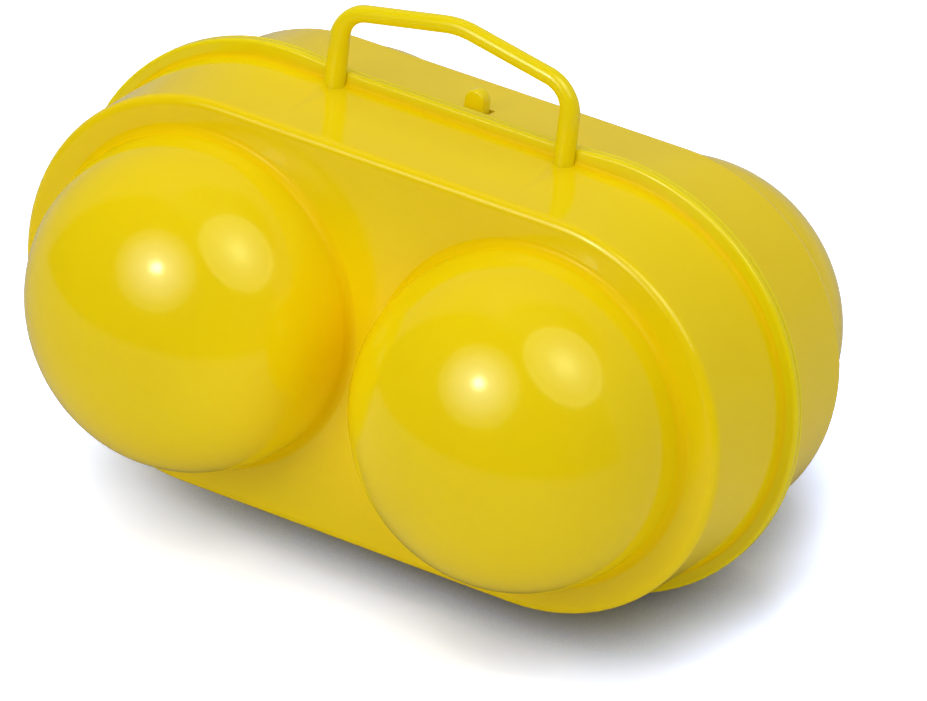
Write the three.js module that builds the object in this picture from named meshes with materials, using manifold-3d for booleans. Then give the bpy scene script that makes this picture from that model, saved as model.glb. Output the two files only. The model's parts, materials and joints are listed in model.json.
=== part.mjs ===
// A carrier for two eggs: two moulded half shells hinged along the bottom of their seam, a fixed
// carrying handle and a sprung latch on top. The case stands on its hinge and its rear rim, leaning back.
import * as THREE from "three";
import { mergeVertices } from "three/addons/utils/BufferGeometryUtils.js";
import Module from "manifold-3d";

const wasm = await Module();
wasm.setup();

// Sizes are in millimetres. The case is drawn upright about the middle of its seam:
// X runs along the case, Y from front to back, Z up.

// Egg domes, two on each half. The outline of the case is laid out around them.
const DOME_RADIUS = 23.3;
const DOME_LENGTH = 22.8;
const DOME_FILLET = 1.4;
const DOME_FULLNESS = 2.4;
const DOME_GAP = 2.2;

// Each half: how deep its tub is, how far its rim stands off the domes, and the round of the rim
const FRONT_DEPTH = 17.8;
const FRONT_MARGIN = 1.3;
const REAR_DEPTH = 19.3;
const REAR_MARGIN = 0.2;
const RIM_ROUND = 2.3;
const REAR_DRAFT = 1.6;
const END_OUTSET = 0.4;
const WALL = 1.4;

// Flange round the seam: how far it stands off the mouth, and how much further round the ends
const FLANGE_WIDTH = 1.9;
const FLANGE_EARS = 0.6;
const FLANGE_END_INSET = 0.4;
const FLANGE_THICKNESS = 0.95;
const FLANGE_EDGE = 0.2;
const SEAM_GAP = 0.3;

// Hinge: two groups of three barrels, each on a wire pin
const HINGE_OUTSET = 0.6;
const BARREL_RADIUS = 1.35;
const BARREL_LENGTH = 5.0;
const BARREL_SIDE_GAP = 0.4;
const HINGE_HALF_SPACING = 20.0;
const PIN_RADIUS = 0.55;
const PIN_CHAMFER = 0.15;
const RUNNING_GAP = 0.3;
const PIN_GAP = 0.25;

// Carrying handle: a bent rod, thicker in its legs than in its bar
const LEG_HALF_SPACING = 18.0;
const LEG_RADIUS = 1.45;
const BAR_RADIUS = 1.2;
const SHOULDER_RISE = 8.8;
const PEAK_RISE = 3.5;
const SHOULDER_BEND = 4.6;
const PEAK_BEND = 12.0;
const PEG_RADIUS = 0.8;

// Latch: a springy tongue rooted under the front shell's top wall
const LATCH_WIDTH = 3.1;
const LATCH_ROOT_REACH = 10.0;
const LATCH_ROOT_LENGTH = 5.0;
const TONGUE_THICKNESS = 1.2;
const TONGUE_DROP = 0.4;
const STRIP_HEIGHT = 1.4;
const BARB_BITE = 1.0;
const BARB_TAIL_DROP = 1.6;
const BUTTON_DEPTH = 2.0;
const BUTTON_PLACE = 5.75;
const BUTTON_RISE = 0.7;
const WINDOW_BACK_ROOM = 0.95;

// How finely the round shapes are faceted
const END_STEPS = 16;
const ROUND_STEPS = 4;
const DOME_STEPS = 8;
const DOME_SIDES = 40;
const BARREL_SIDES = 24;
const ROD_SIDES = 12;
const BEND_STEPS = 6;
const BUTTON_STEPS = 8;

// One length by which every cutting shape runs past what it cuts
const OVERRUN = 1.0;

const YELLOW = 0xe3c714;
const STEEL = 0xb9bcc0;
const shellFinish = { color: YELLOW, roughness: 0.18, metalness: 0 };

// Sizes that follow from the ones above

const domeFoot = DOME_RADIUS + DOME_FILLET;
const domeHalfSpacing = domeFoot + DOME_GAP / 2;
const endHalfSpacing = domeHalfSpacing + END_OUTSET;
const frontRimRadius = domeFoot + FRONT_MARGIN + RIM_ROUND;
const rearRimRadius = domeFoot + REAR_MARGIN + RIM_ROUND;
const mouthRadius = rearRimRadius + REAR_DRAFT;
const flangeReach = mouthRadius + FLANGE_WIDTH;
const flangeEndRadius = flangeReach + FLANGE_EARS;
const flangeEndHalfSpacing = endHalfSpacing - FLANGE_END_INSET;
const hingeDrop = mouthRadius + HINGE_OUTSET;
const shoulderHeight = flangeReach + SHOULDER_RISE;
const peakHeight = shoulderHeight + PEAK_RISE;

// Solids

function solidFrom(geometry) {
  const bare = geometry.clone();
  for (const name of Object.keys(bare.attributes)) {
    if (name !== "position") bare.deleteAttribute(name);
  }
  const merged = mergeVertices(bare);
  return new wasm.Manifold(
    new wasm.Mesh({
      numProp: 3,
      vertProperties: merged.attributes.position.array,
      triVerts: new Uint32Array(merged.index.array),
    }),
  );
}

function meshFrom(name, solid, finish) {
  const made = solid.getMesh();
  const geometry = new THREE.BufferGeometry();
  geometry.setAttribute("position", new THREE.BufferAttribute(made.vertProperties, 3));
  geometry.setIndex(new THREE.BufferAttribute(made.triVerts, 1));
  geometry.computeVertexNormals();
  const mesh = new THREE.Mesh(geometry, new THREE.MeshStandardMaterial(finish));
  mesh.name = name;
  return mesh;
}

function joined(solids) {
  return solids.reduce((whole, part) => whole.add(part));
}

function cutBy(solid, cutters) {
  return cutters.reduce((whole, cutter) => whole.subtract(cutter), solid);
}

// The same solid turned half round about Z
function halfTurned(solid) {
  const made = solid.getMesh();
  const points = new THREE.BufferAttribute(made.vertProperties, 3);
  points.applyMatrix4(new THREE.Matrix4().makeRotationZ(Math.PI));
  return new wasm.Manifold(
    new wasm.Mesh({ numProp: 3, vertProperties: points.array, triVerts: made.triVerts }),
  );
}

// A closed skin through rings of points, closed by a fan at each end.
// Each ring turns clockwise as seen looking along the way from the first ring to the last.
function loft(rings) {
  const count = rings[0].length;
  const points = rings.flat();
  const index = [];
  for (let r = 0; r + 1 < rings.length; r++) {
    for (let k = 0; k < count; k++) {
      const a = r * count + k;
      const b = r * count + ((k + 1) % count);
      index.push(a, a + count, b, b, a + count, b + count);
    }
  }
  const middle = (ring) =>
    ring.reduce((sum, p) => sum.add(p), new THREE.Vector3()).divideScalar(count);
  const first = points.push(middle(rings[0])) - 1;
  const last = points.push(middle(rings[rings.length - 1])) - 1;
  const lastRing = (rings.length - 1) * count;
  for (let k = 0; k < count; k++) {
    const next = (k + 1) % count;
    index.push(first, k, next, last, lastRing + next, lastRing + k);
  }
  const geometry = new THREE.BufferGeometry().setFromPoints(points);
  geometry.setIndex(index);
  return solidFrom(geometry);
}

// Two round ends joined by straight sides, as a ring of points across the Y direction.
// Where the straight sides reach less far than the ends, the ends turn in a little to meet them.
function stadium(radius, halfSpacing, sideReach, y) {
  const sweep = Math.PI + 2 * Math.acos(sideReach / radius);
  const points = [];
  for (const [side, middle] of [[1, 0], [-1, Math.PI]]) {
    for (let k = 0; k <= END_STEPS; k++) {
      const turn = middle + sweep * (k / END_STEPS - 1 / 2);
      const x = side * halfSpacing + radius * Math.cos(turn);
      points.push(new THREE.Vector3(x, y, radius * Math.sin(turn)));
    }
  }
  return points;
}

function outline(radius, y) {
  return stadium(radius, endHalfSpacing, radius, y);
}

function flangeOutline(inset, y) {
  return stadium(flangeEndRadius - inset, flangeEndHalfSpacing, flangeReach - inset, y);
}

function box(from, to) {
  const size = to.clone().sub(from);
  const geometry = new THREE.BoxGeometry(size.x, size.y, size.z);
  const middle = from.clone().add(to).divideScalar(2);
  return solidFrom(geometry.translate(middle.x, middle.y, middle.z));
}

// A round bar along X at the hinge
function hingeBar(radius, middle, length) {
  const geometry = new THREE.CylinderGeometry(radius, radius, length, BARREL_SIDES);
  geometry.rotateZ(Math.PI / 2);
  return solidFrom(geometry.translate(middle, 0, -hingeDrop));
}

// An upright round bar at one leg of the handle
function legBar(radius, side, from, to) {
  const geometry = new THREE.CylinderGeometry(radius, radius, to - from, BARREL_SIDES);
  geometry.rotateX(Math.PI / 2);
  return solidFrom(geometry.translate(side * LEG_HALF_SPACING, legPlane, (from + to) / 2));
}

// Halves. Each is drawn with its mouth at the seam and its domes towards +Y, and the front one is turned round.

const mouth = SEAM_GAP / 2;
const flangeBack = mouth + FLANGE_THICKNESS;

function tubRadius(y, rimRadius, depth) {
  const straight = depth - RIM_ROUND - mouth;
  return mouthRadius - ((mouthRadius - rimRadius) * (y - mouth)) / straight;
}

function tubOuter(rimRadius, depth) {
  const rings = [outline(mouthRadius, mouth)];
  for (let k = 0; k <= ROUND_STEPS; k++) {
    const turn = ((Math.PI / 2) * k) / ROUND_STEPS;
    const inset = RIM_ROUND * (1 - Math.cos(turn));
    rings.push(outline(rimRadius - inset, depth - RIM_ROUND * (1 - Math.sin(turn))));
  }
  return loft(rings);
}

function tubInner(rimRadius, depth) {
  const floor = depth - WALL;
  const round = RIM_ROUND - WALL;
  const shoulder = floor - round;
  const shoulderRadius = rimRadius - WALL;
  return loft([
    outline(tubRadius(-OVERRUN, rimRadius, depth) - WALL, -OVERRUN),
    outline(shoulderRadius, shoulder),
    outline(shoulderRadius - round * (1 - Math.SQRT1_2), floor - round * (1 - Math.SQRT1_2)),
    outline(shoulderRadius - round, floor),
  ]);
}

function flange() {
  return loft([
    flangeOutline(FLANGE_EDGE, mouth),
    flangeOutline(0, mouth + FLANGE_EDGE),
    flangeOutline(0, flangeBack - FLANGE_EDGE),
    flangeOutline(FLANGE_EDGE, flangeBack),
  ]);
}

// A dome's section from the face outwards: full near the face and round at the tip
function domeCurve(radius, length, from) {
  const points = [];
  for (let k = 0; k < DOME_STEPS; k++) {
    const climb = Math.sin((Math.PI / 2) * (k / DOME_STEPS)) * (length - from) + from;
    const width = radius * Math.sqrt(1 - Math.pow(climb / length, DOME_FULLNESS));
    points.push(new THREE.Vector2(width, climb));
  }
  points.push(new THREE.Vector2(0, length));
  return points;
}

function domeSolid(profile, side, face) {
  const geometry = new THREE.LatheGeometry(profile, DOME_SIDES);
  return solidFrom(geometry.translate(side * domeHalfSpacing, face, 0));
}

function domeOuter(side, depth) {
  const profile = [new THREE.Vector2(0, -WALL / 2)];
  profile.push(new THREE.Vector2(domeFoot, -WALL / 2));
  for (let k = 0; k < ROUND_STEPS; k++) {
    const turn = ((Math.PI / 2) * k) / ROUND_STEPS;
    const width = DOME_RADIUS + DOME_FILLET * (1 - Math.sin(turn));
    profile.push(new THREE.Vector2(width, DOME_FILLET * (1 - Math.cos(turn))));
  }
  profile.push(...domeCurve(DOME_RADIUS, DOME_LENGTH, DOME_FILLET));
  return domeSolid(profile, side, depth);
}

function domeInner(side, depth) {
  const profile = [new THREE.Vector2(0, -WALL - OVERRUN)];
  profile.push(new THREE.Vector2(DOME_RADIUS - WALL, -WALL - OVERRUN));
  profile.push(...domeCurve(DOME_RADIUS - WALL, DOME_LENGTH - WALL, 0));
  return domeSolid(profile, side, depth);
}

// What lies below the hinge's axis is cut off the flange, so that the halves can open flat
function flangeTrim() {
  const low = -flangeEndRadius - OVERRUN;
  const top = -hingeDrop + SEAM_GAP / 2;
  const reach = flangeEndHalfSpacing + flangeEndRadius;
  return box(
    new THREE.Vector3(-reach, -OVERRUN, low),
    new THREE.Vector3(reach, flangeBack + OVERRUN, top),
  );
}

function halfShell(rimRadius, depth) {
  const skin = joined([
    cutBy(flange(), [flangeTrim()]),
    tubOuter(rimRadius, depth),
    domeOuter(1, depth),
    domeOuter(-1, depth),
  ]);
  return cutBy(skin, [tubInner(rimRadius, depth), domeInner(1, depth), domeInner(-1, depth)]);
}

// Hinge. The middle barrel of each group is the front shell's, the two outer ones are the rear shell's.

const barrelPitch = BARREL_LENGTH + BARREL_SIDE_GAP;
const pinLength = 2 * barrelPitch + BARREL_LENGTH;
const frontBarrels = [-HINGE_HALF_SPACING, HINGE_HALF_SPACING];
const rearBarrels = frontBarrels.flatMap((x) => [x - barrelPitch, x + barrelPitch]);

function withHinge(shell, own, other) {
  const barrels = own.map((x) => hingeBar(BARREL_RADIUS, x, BARREL_LENGTH));
  const room = BARREL_LENGTH + 2 * BARREL_SIDE_GAP;
  const notches = other.map((x) => hingeBar(BARREL_RADIUS + RUNNING_GAP, x, room));
  const bores = frontBarrels.map((x) => hingeBar(PIN_RADIUS + PIN_GAP, x, pinLength + OVERRUN));
  return cutBy(joined([cutBy(shell, notches), ...barrels]), bores);
}

function hingePin(name, x) {
  const end = pinLength / 2;
  const profile = [
    new THREE.Vector2(0, -end),
    new THREE.Vector2(PIN_RADIUS - PIN_CHAMFER, -end),
    new THREE.Vector2(PIN_RADIUS, -end + PIN_CHAMFER),
    new THREE.Vector2(PIN_RADIUS, end - PIN_CHAMFER),
    new THREE.Vector2(PIN_RADIUS - PIN_CHAMFER, end),
    new THREE.Vector2(0, end),
  ];
  const geometry = new THREE.LatheGeometry(profile, BARREL_SIDES);
  const solid = solidFrom(geometry.rotateZ(Math.PI / 2).translate(x, 0, -hingeDrop));
  return meshFrom(name, solid, { color: STEEL, roughness: 0.3, metalness: 1 });
}

// Handle. Its legs stand in notches of the front flange, and a peg under each leg goes through the wall.

const legPlane = -mouth - LEG_RADIUS;
const legFoot = mouthRadius + RUNNING_GAP;

// A corner of the rod's line rounded by an arc, from the corner and the points before and after it
function roundedCorner(before, corner, after, radius) {
  const arrive = before.clone().sub(corner).normalize();
  const leave = after.clone().sub(corner).normalize();
  const half = Math.acos(arrive.dot(leave)) / 2;
  const reach = radius / Math.tan(half);
  const start = corner.clone().addScaledVector(arrive, reach);
  const toCentre = arrive.clone().add(leave).normalize();
  const centre = corner.clone().addScaledVector(toCentre, radius / Math.sin(half));
  const first = start.sub(centre);
  const axis = new THREE.Vector3().crossVectors(arrive, leave).normalize();
  const sweep = -(Math.PI - 2 * half);
  const points = [];
  for (let k = 0; k <= BEND_STEPS; k++) {
    const turned = first.clone().applyAxisAngle(axis, (sweep * k) / BEND_STEPS);
    points.push(turned.add(centre));
  }
  return points;
}

function handleLine() {
  const at = (x, z) => new THREE.Vector3(x, legPlane, z);
  const corners = [
    at(-LEG_HALF_SPACING, legFoot),
    at(-LEG_HALF_SPACING, shoulderHeight),
    at(0, peakHeight),
    at(LEG_HALF_SPACING, shoulderHeight),
    at(LEG_HALF_SPACING, legFoot),
  ];
  const bends = [SHOULDER_BEND, PEAK_BEND, SHOULDER_BEND];
  const line = [corners[0]];
  bends.forEach((bend, k) => {
    line.push(...roundedCorner(corners[k], corners[k + 1], corners[k + 2], bend));
  });
  line.push(corners[corners.length - 1]);
  return line;
}

// The rod is as thick as the legs up to the shoulders, and eases to the bar's thickness towards the peak
function rodRadius(point) {
  const shoulder = shoulderHeight - SHOULDER_BEND;
  const share = THREE.MathUtils.smoothstep(point.z, shoulder, shoulderHeight);
  return THREE.MathUtils.lerp(LEG_RADIUS, BAR_RADIUS, share);
}

function carryHandle() {
  const line = handleLine();
  const across = new THREE.Vector3(0, 1, 0);
  const rings = line.map((point, k) => {
    const before = line[Math.max(k - 1, 0)];
    const after = line[Math.min(k + 1, line.length - 1)];
    const along = after.clone().sub(before).normalize();
    const inPlane = new THREE.Vector3().crossVectors(across, along);
    const radius = rodRadius(point);
    return Array.from({ length: ROD_SIDES }, (_, s) => {
      const turn = (2 * Math.PI * s) / ROD_SIDES;
      const offset = across.clone().multiplyScalar(radius * Math.cos(turn));
      return offset.addScaledVector(inPlane, radius * Math.sin(turn)).add(point);
    });
  });
  const pegEnd = mouthRadius - WALL;
  const pegs = [-1, 1].map((side) => legBar(PEG_RADIUS, side, pegEnd, legFoot + PEG_RADIUS));
  return meshFrom("carry_handle", joined([loft(rings), ...pegs]), shellFinish);
}

function handleSeats() {
  const seatTop = flangeReach + OVERRUN;
  return [-1, 1].flatMap((side) => [
    legBar(LEG_RADIUS + RUNNING_GAP, side, mouthRadius, seatTop),
    legBar(PEG_RADIUS + RUNNING_GAP, side, mouthRadius - WALL - OVERRUN, seatTop),
  ]);
}

// Latch. The tongue reaches back through a window of the rear shell, behind a strip of its flange.

const latchRootTop = tubRadius(LATCH_ROOT_REACH, frontRimRadius, FRONT_DEPTH) - WALL - RUNNING_GAP;
const tongueTop = latchRootTop - TONGUE_DROP;
const tongueUnder = tongueTop - TONGUE_THICKNESS;
const stripUnder = flangeReach - STRIP_HEIGHT;
const buttonTop = flangeReach + BUTTON_RISE;
const barbFront = flangeBack + RUNNING_GAP;
const buttonFront = BUTTON_PLACE - BUTTON_DEPTH / 2;
const buttonBack = BUTTON_PLACE + BUTTON_DEPTH / 2;

// A shape drawn across Y and Z, carried along X over the latch's width
function acrossLatch(corners) {
  const shape = new THREE.Shape(corners.map(([y, z]) => new THREE.Vector2(y, z)));
  const geometry = new THREE.ExtrudeGeometry(shape, { depth: LATCH_WIDTH, bevelEnabled: false });
  const turned = new THREE.Matrix4().makeBasis(
    new THREE.Vector3(0, 1, 0),
    new THREE.Vector3(0, 0, 1),
    new THREE.Vector3(1, 0, 0),
  );
  return solidFrom(geometry.applyMatrix4(turned).translate(-LATCH_WIDTH / 2, 0, 0));
}

function latchButton() {
  const half = LATCH_WIDTH / 2;
  const shape = new THREE.Shape();
  shape.moveTo(-half, tongueUnder);
  shape.lineTo(half, tongueUnder);
  shape.lineTo(half, buttonTop - half);
  shape.absarc(0, buttonTop - half, half, 0, Math.PI, false);
  const extrusion = { depth: BUTTON_DEPTH, bevelEnabled: false, curveSegments: BUTTON_STEPS };
  const geometry = new THREE.ExtrudeGeometry(shape, extrusion);
  return solidFrom(geometry.rotateX(Math.PI / 2).translate(0, buttonBack, 0));
}

function latchTongue() {
  const rootBack = LATCH_ROOT_LENGTH - LATCH_ROOT_REACH;
  const barbTop = stripUnder + BARB_BITE;
  const tongue = acrossLatch([
    [-LATCH_ROOT_REACH, tongueUnder],
    [buttonBack, tongueUnder],
    [buttonBack, tongueTop],
    [buttonFront, barbTop - BARB_TAIL_DROP],
    [barbFront, barbTop],
    [barbFront, tongueTop],
    [rootBack, tongueTop],
    [rootBack, latchRootTop],
    [-LATCH_ROOT_REACH, latchRootTop],
  ]);
  return meshFrom("latch_tongue", tongue.add(latchButton()), shellFinish);
}

function latchWindow() {
  const half = LATCH_WIDTH / 2 + RUNNING_GAP;
  const back = buttonBack + WINDOW_BACK_ROOM;
  return box(
    new THREE.Vector3(-half, -OVERRUN, tongueUnder - OVERRUN),
    new THREE.Vector3(half, back, stripUnder),
  );
}

// The whole case, upright

function frontShell() {
  const half = halfTurned(halfShell(frontRimRadius, FRONT_DEPTH));
  const shell = withHinge(half, frontBarrels, rearBarrels);
  return meshFrom("front_shell", cutBy(shell, handleSeats()), shellFinish);
}

function rearShell() {
  const half = halfShell(rearRimRadius, REAR_DEPTH);
  const shell = withHinge(half, rearBarrels, frontBarrels);
  return meshFrom("rear_shell", cutBy(shell, [latchWindow()]), shellFinish);
}

const upright = new THREE.Group();
upright.add(
  frontShell(),
  rearShell(),
  carryHandle(),
  latchTongue(),
  hingePin("hinge_pin_left", frontBarrels[0]),
  hingePin("hinge_pin_right", frontBarrels[1]),
);

// The case leans back until the round of its rear rim touches the surface that the hinge barrels stand on
function leanAngle() {
  const back = REAR_DEPTH - RIM_ROUND;
  const rise = hingeDrop - (rearRimRadius - RIM_ROUND);
  const chord = Math.asin((RIM_ROUND - BARREL_RADIUS) / Math.hypot(back, rise));
  return Math.atan2(rise, back) - chord;
}

upright.rotation.x = -leanAngle();

// The origin is the middle of the case's foot: half way along and across its bounding box, on its lowest point
const carrier = new THREE.Group();
carrier.add(upright);
const bounds = new THREE.Box3().setFromObject(carrier, true);
upright.position.y = -(bounds.min.y + bounds.max.y) / 2;
upright.position.z = -bounds.min.z;

export default carrier;
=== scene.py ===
"""The looks of a hinged carrying case for two eggs: fine shells, handle, latch and hinge pins over the
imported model, their moulded plastic and steel, and a plain pale studio with the photograph's camera."""

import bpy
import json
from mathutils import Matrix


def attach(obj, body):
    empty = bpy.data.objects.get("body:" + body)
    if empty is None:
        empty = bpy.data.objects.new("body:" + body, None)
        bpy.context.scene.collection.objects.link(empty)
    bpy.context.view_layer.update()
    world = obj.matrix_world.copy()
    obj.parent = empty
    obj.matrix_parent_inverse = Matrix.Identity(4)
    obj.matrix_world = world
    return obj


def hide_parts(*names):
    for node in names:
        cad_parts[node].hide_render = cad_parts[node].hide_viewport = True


bl_info = {
    "name": "Egg carrying case",
    "version": (1, 0, 0),
    "blender": (4, 5, 0),
    "location": "View3D > Sidebar > Egg case",
    "description": "Builds a hinged carrying case for two eggs and a pale studio round it",
    "category": "Object",
}

import json
import math

import bmesh
import bpy
from bpy.props import FloatProperty, FloatVectorProperty, IntProperty, PointerProperty
from mathutils import Matrix, Vector

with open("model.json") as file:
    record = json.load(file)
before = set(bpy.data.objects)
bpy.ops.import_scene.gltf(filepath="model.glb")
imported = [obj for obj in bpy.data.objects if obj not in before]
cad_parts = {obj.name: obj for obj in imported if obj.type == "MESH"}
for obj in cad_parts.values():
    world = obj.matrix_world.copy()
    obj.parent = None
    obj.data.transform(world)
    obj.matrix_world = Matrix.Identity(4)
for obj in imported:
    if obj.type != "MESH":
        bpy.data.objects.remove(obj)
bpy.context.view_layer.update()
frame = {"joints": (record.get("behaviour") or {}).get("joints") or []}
HINGE = next(joint for joint in frame["joints"] if joint["name"] == "case_hinge")


# Settings


def length(name, description, millimetres):
    return FloatProperty(
        name=name,
        description=description,
        default=millimetres / 1000,
        min=0.0,
        precision=5,
        subtype="DISTANCE",
        unit="LENGTH",
    )


def colour(name, description, value):
    return FloatVectorProperty(
        name=name, description=description, default=value, size=3, min=0.0, max=1.0, subtype="COLOR"
    )


def share(name, description, value):
    return FloatProperty(
        name=name, description=description, default=value, min=0.0, max=1.0, subtype="FACTOR"
    )


class CaseSizes(bpy.types.PropertyGroup):
    """Sizes of the case, as its solids have them"""

    dome_radius: length("Dome radius", "Radius of each egg dome at its foot", 23.3)
    dome_length: length("Dome length", "How far each dome stands out of its half's face", 22.8)
    dome_fillet: length("Dome fillet", "Round between a dome and the face", 1.4)
    dome_gap: length("Dome gap", "Flat between the two domes of a half", 2.2)
    front_depth: length("Front depth", "Depth of the front half's tub", 17.8)
    front_margin: length("Front margin", "How far the front rim stands off the domes", 1.3)
    rear_depth: length("Rear depth", "Depth of the rear half's tub", 19.3)
    rear_margin: length("Rear margin", "How far the rear rim stands off the domes", 0.2)
    rim_round: length("Rim round", "Round of the rim between wall and face", 2.3)
    rear_draft: length("Rear draft", "How much wider the mouth is than the rear rim", 1.6)
    end_outset: length("End outset", "How far the round ends lie outside the domes' middles", 0.4)
    wall: length("Wall", "Thickness of the moulded wall", 1.4)
    flange_width: length("Flange width", "How far the flange stands off the mouth", 1.9)
    flange_ears: length("Flange ears", "How much further the flange stands out round the ends", 0.6)
    flange_end_inset: length("Flange end inset", "How far the flange's ends lie inside the tub's", 0.4)
    flange_thickness: length("Flange thickness", "Thickness of the flange", 0.95)
    flange_edge: length("Flange edge", "Round of the flange's outer edge", 0.5)
    closing_edge: length("Closing edge", "Round of the flange's edge at the seam", 0.06)
    closing_gap: length("Closing gap", "Half the gap that shows between the closed flanges", 0.04)
    flange_fillet: length("Flange fillet", "Round between the flange and the wall", 0.7)
    front_crease: length("Front crease", "Round of the front rim's outer skin", 1.25)
    dome_crease: length("Dome crease", "Round where a dome's outer skin meets the face", 1.3)
    seam_gap: length("Seam gap", "Gap between the closed halves", 0.3)
    hinge_outset: length("Hinge outset", "How far the hinge's axis lies below the mouth", 0.6)
    barrel_radius: length("Barrel radius", "Radius of a hinge barrel", 1.35)
    barrel_length: length("Barrel length", "Length of a hinge barrel", 5.0)
    barrel_gap: length("Barrel gap", "Gap between neighbouring barrels", 0.4)
    hinge_half_spacing: length("Hinge half spacing", "Half the distance between the two hinges", 20.0)
    pin_radius: length("Pin radius", "Radius of a hinge pin", 0.55)
    pin_chamfer: length("Pin chamfer", "Chamfer at a pin's ends", 0.15)
    running_gap: length("Running gap", "Room round what turns or passes through", 0.3)
    pin_gap: length("Pin gap", "Room round a pin in its bore", 0.25)
    leg_half_spacing: length("Leg half spacing", "Half the distance between the handle's legs", 18.0)
    leg_radius: length("Leg radius", "Radius of the handle's legs", 1.45)
    bar_radius: length("Bar radius", "Radius of the handle's bar", 1.2)
    shoulder_rise: length("Shoulder rise", "Height of the handle's shoulders above the flange", 8.8)
    peak_rise: length("Peak rise", "Height of the handle's peak above its shoulders", 3.47)
    shoulder_bend: length("Shoulder bend", "Bend radius of the shoulders", 4.6)
    peak_bend: length("Peak bend", "Bend radius of the peak", 12.0)
    peg_radius: length("Peg radius", "Radius of the peg under each leg", 0.8)
    latch_width: length("Latch width", "Width of the latch's tongue and button", 3.1)
    latch_root_reach: length("Latch root reach", "How far the tongue reaches to the front", 10.0)
    latch_root_length: length("Latch root length", "Length of the tongue's root", 5.0)
    tongue_thickness: length("Tongue thickness", "Thickness of the tongue", 1.2)
    tongue_drop: length("Tongue drop", "How far the tongue lies below its root", 0.4)
    strip_height: length("Strip height", "Height of the flange strip over the window", 1.4)
    barb_bite: length("Barb bite", "How far the barb stands up behind the strip", 1.0)
    barb_tail_drop: length("Barb tail drop", "How far the barb falls towards the button", 1.6)
    button_depth: length("Button depth", "Depth of the button", 2.0)
    button_place: length("Button place", "How far the button's middle lies behind the seam", 5.75)
    button_rise: length("Button rise", "Height of the button above the flange", 0.7)
    window_back_room: length("Window back room", "Room behind the button in the window", 0.95)


class CaseFinish(bpy.types.PropertyGroup):
    """Colours and gloss of the case"""

    plastic: colour("Plastic", "Colour of the moulded plastic", (0.84, 0.618, 0.0008))
    plastic_deep: colour("Deep plastic", "Colour where flows met in the mould", (0.83, 0.585, 0.0004))
    # Painted glow: the thin parts are greener and a little lighter, as light passing through them would
    # make them
    plastic_thin: colour(
        "Thin plastic", "Colour where light passes through: flanges, rod and latch", (0.83, 0.655, 0.002)
    )
    # Painted light: between the domes the colour is brighter and warmer, as the light that the domes
    # throw on each other makes it
    plastic_between: colour(
        "Plastic between domes", "Colour between the domes, which light each other", (0.98, 0.71, 0.0003)
    )
    plastic_grain: colour("Plastic grain", "Colour of the moulded skin's specks", (0.90, 0.72, 0.02))
    # Painted shade: a deeper orange in the hollow corners
    plastic_corner: colour("Plastic corners", "Colour in the hollow corners", (0.88, 0.56, 0.0004))
    gloss_roughness: share("Plastic roughness", "Roughness of the plastic's gloss", 0.12)
    glow: share("Plastic glow", "How much light wanders inside the plastic's wall", 0.12)
    smear_dullness: share("Smears", "How much the smears of handling dull the gloss", 0.04)
    hair_dullness: share("Hairlines", "How much the hairline scratches dull the gloss", 0.04)
    skin_bump: share("Skin bump", "Strength of the moulded skin's unevenness", 0.35)
    steel: colour("Steel", "Colour of the hinge pins", (0.56, 0.56, 0.57))
    steel_dull: colour("Dull steel", "Colour of the dull spots on the pins", (0.32, 0.31, 0.3))
    steel_roughness: share("Steel roughness", "Roughness of the hinge pins", 0.32)


class StudioSettings(bpy.types.PropertyGroup):
    """The photograph's studio"""

    view_distance: length("View distance", "Distance of the camera from the middle of the seam", 1150.8)
    focal_length: FloatProperty(
        name="Focal length", description="Focal length of the camera", default=330.6, unit="CAMERA"
    )
    view_azimuth: FloatProperty(
        name="View azimuth",
        description="Turn of the camera about the case",
        default=math.radians(31.975),
        subtype="ANGLE",
        unit="ROTATION",
    )
    view_elevation: FloatProperty(
        name="View elevation",
        description="Height of the camera above the horizon",
        default=math.radians(35.0),
        subtype="ANGLE",
        unit="ROTATION",
    )
    aim_right: length("Aim right", "How far right of the seam's middle the camera aims", 4.25)
    aim_down: length("Aim down", "How far below the seam's middle the camera aims", 5.02)
    floor_radius: length("Floor radius", "Radius of the pale floor", 350.0)
    floor_front: length("Floor front", "How far the floor reaches in front of the case", 340.0)
    lamp_distance: length("Lamp distance", "Distance of the lamps", 700.0)
    floor_colour: colour("Floor", "Colour of the floor", (0.85, 0.85, 0.85))
    round_steps: IntProperty(
        name="Round steps", description="Facets of a dome's round and of the floor's", default=96, min=16
    )


def sizes():
    return bpy.context.scene.egg_case_sizes


def finish_settings():
    return bpy.context.scene.egg_case_finish


def studio():
    return bpy.context.scene.egg_case_studio


# Sizes that follow from the settings


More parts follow.
